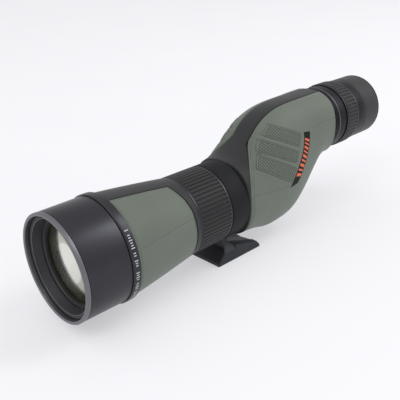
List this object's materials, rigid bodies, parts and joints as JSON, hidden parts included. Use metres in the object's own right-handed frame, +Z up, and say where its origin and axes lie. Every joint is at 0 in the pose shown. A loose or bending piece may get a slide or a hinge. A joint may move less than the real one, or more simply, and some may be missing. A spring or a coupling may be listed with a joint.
{
  "type": "spotting scope",
  "caption": "Straight rubber-armoured spotting scope with sliding sunshade, ribbed focus ring, turning tripod collar and foot, raised zoom eyepiece and twist-up eyecup.",
  "frame": {"origin": "centre of the tripod foot's flat underside, which rests on a table or a tripod head", "axes": "+Y runs along the optical axis from the objective end to the eyepiece end, +Z runs up from the foot to the scope, and +X points to the side without the lock knob"},
  "size_m": [0.0861, 0.3476, 0.1151],
  "materials": {
    "satin_black_metal": "satin anodised",
    "bright_edge": "satin anodised, lighter",
    "lens_barrel_black": "matte",
    "black_rubber": "matte, fine grain",
    "green_armour": "matte, fine grain",
    "casting_black": "matte",
    "foot_metal": "satin anodised",
    "coated_glass": "polished and coated",
    "prism_glass": "polished",
    "badge_black": "matte with an orange motif",
    "steel": "turned",
    "polymer": "fine grain"
  },
  "bodies": {
    "collar": {"tripod_collar": "foot_metal", "collar_liner": "polymer", "tripod_bush": "steel"},
    "lock_knob": {"collar_lock_knob": "black_rubber", "collar_lock_stud": "steel"},
    "scope": {"main_tube": "lens_barrel_black", "engraved_band": "satin_black_metal", "sunshade_seal": "black_rubber", "objective_cell": "lens_barrel_black", "objective_retaining_ring": "lens_barrel_black", "objective_crown_lens": "coated_glass", "objective_flint_lens": "coated_glass", "light_baffle": "lens_barrel_black", "barrel_armour": "black_rubber", "barrel_panel_left": "green_armour", "barrel_panel_right": "green_armour", "prism_housing": "casting_black", "housing_armour": "black_rubber", "housing_panel_left": "green_armour", "housing_panel_right": "green_armour", "badge_strip_left": "badge_black", "badge_strip_right": "badge_black", "rear_prism": "prism_glass", "front_prism": "prism_glass", "prism_plate": "casting_black", "eyepiece_tube": "lens_barrel_black", "eyepiece_base_ring": "satin_black_metal", "eyepiece_flange_ring": "satin_black_metal", "eyepiece_rear_ring": "satin_black_metal", "field_lens_cell": "lens_barrel_black", "field_lens": "coated_glass", "eye_lens_cell": "lens_barrel_black", "eye_lens": "coated_glass"},
    "sunshade": {"sunshade_tube": "satin_black_metal", "sunshade_front_ring": "bright_edge"},
    "focus_ring": {"focus_sleeve": "satin_black_metal", "focus_grip": "black_rubber"},
    "focus_carriage": {"focus_cell": "lens_barrel_black", "focus_lens": "coated_glass", "focus_drive_pin": "steel"},
    "zoom_ring": {"zoom_sleeve": "satin_black_metal", "zoom_grip": "black_rubber"},
    "zoom_carriage_front": {"zoom_cell_front": "lens_barrel_black", "zoom_lens_front": "coated_glass"},
    "zoom_carriage_rear": {"zoom_cell_rear": "lens_barrel_black", "zoom_lens_rear": "coated_glass"},
    "eyecup_guide": {"eyecup_guide": "polymer"},
    "eyecup": {"eyecup_body": "polymer", "eyecup_rim": "black_rubber"}
  },
  "joints": [
    {"name": "scope_roll", "type": "hinge", "parent": "collar", "child": "scope", "pos_m": [0, 0, 0.0475], "axis": [0, 1, 0], "continuous": true},
    {"name": "lock_knob_turn", "type": "hinge", "parent": "collar", "child": "lock_knob", "pos_m": [-0.036, -0.0069, 0.0475], "axis": [-1, 0, 0], "range_deg": [0, 270]},
    {"name": "sunshade_slide", "type": "slide", "parent": "scope", "child": "sunshade", "axis": [0, -1, 0], "range_m": [0, 0.022]},
    {"name": "focus_turn", "type": "hinge", "parent": "scope", "child": "focus_ring", "pos_m": [0, -0.033, 0.0475], "axis": [0, 1, 0], "range_deg": [-180, 180]},
    {"name": "focus_slide", "type": "slide", "parent": "scope", "child": "focus_carriage", "axis": [0, 1, 0], "range_m": [-0.008, 0.008]},
    {"name": "zoom_turn", "type": "hinge", "parent": "scope", "child": "zoom_ring", "pos_m": [0, 0.146, 0.0854], "axis": [0, 1, 0], "range_deg": [0, 120]},
    {"name": "zoom_front_slide", "type": "slide", "parent": "scope", "child": "zoom_carriage_front", "axis": [0, 1, 0], "range_m": [0, 0.0081]},
    {"name": "zoom_rear_slide", "type": "slide", "parent": "scope", "child": "zoom_carriage_rear", "axis": [0, 1, 0], "range_m": [0, 0.0061]},
    {"name": "eyecup_turn", "type": "hinge", "parent": "scope", "child": "eyecup_guide", "pos_m": [0, 0.17, 0.0854], "axis": [0, 1, 0], "range_deg": [0, 180]},
    {"name": "eyecup_rise", "type": "slide", "parent": "eyecup_guide", "child": "eyecup", "axis": [0, 1, 0], "range_m": [0, 0.0101]}
  ],
  "couplings": [
    {"joint": "focus_slide", "follows": "focus_turn", "m_per_rad": 0.0025},
    {"joint": "zoom_front_slide", "follows": "zoom_turn", "m_per_rad": 0.00382},
    {"joint": "zoom_rear_slide", "follows": "zoom_turn", "m_per_rad": 0.002865},
    {"joint": "eyecup_rise", "follows": "eyecup_turn", "m_per_rad": 0.003183}
  ]
}
